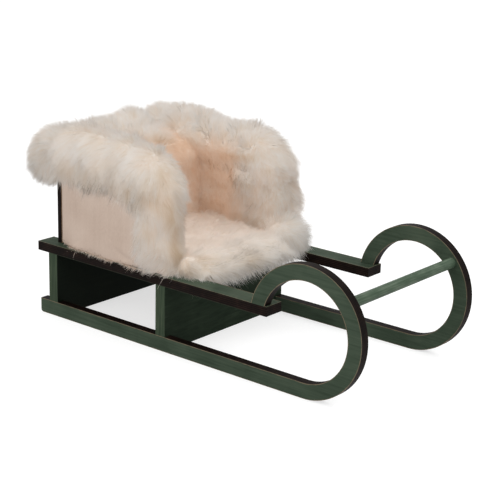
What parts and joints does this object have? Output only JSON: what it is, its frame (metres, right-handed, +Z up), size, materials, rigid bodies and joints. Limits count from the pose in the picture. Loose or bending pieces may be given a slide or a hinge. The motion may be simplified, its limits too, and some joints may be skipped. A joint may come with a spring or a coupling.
{
  "type": "toy sleigh",
  "caption": "Small wooden sleigh: painted plywood runners with round curled fronts, rails and cross panels under a fur-lined seat box, and a crossbar between the curls.",
  "frame": {"origin": "on the ground plane under the middle of the overall length and width", "axes": "+X forward, towards the curled fronts of the runners; +Y to the sleigh's left; +Z up"},
  "size_m": [0.2654, 0.1248, 0.1285],
  "materials": {
    "painted_ply": "thin matt green-grey paint on plywood, edges left dark from laser cutting",
    "painted_board": "thin matt green-grey paint, brush streaks along the grain",
    "box_ply": "bare thin plywood, edges left dark from laser cutting",
    "side_fabric": "matt short-nap fabric, pinkish beige",
    "fur": "long soft pile, off-white with peach depths"
  },
  "bodies": {
    "root": {"right_runner": "painted_ply", "left_runner": "painted_ply", "right_rail": "painted_ply", "left_rail": "painted_ply", "rear_panel": "painted_board", "front_panel": "painted_board", "front_crossbar": "painted_board", "seat_board": "box_ply", "backrest_panel": "box_ply", "right_side_panel": "box_ply", "left_side_panel": "box_ply", "right_side_cover": "side_fabric", "left_side_cover": "side_fabric", "back_pelt": "fur", "right_arm_pelt": "fur", "left_arm_pelt": "fur", "seat_pelt": "fur"}
  },
  "joints": []
}
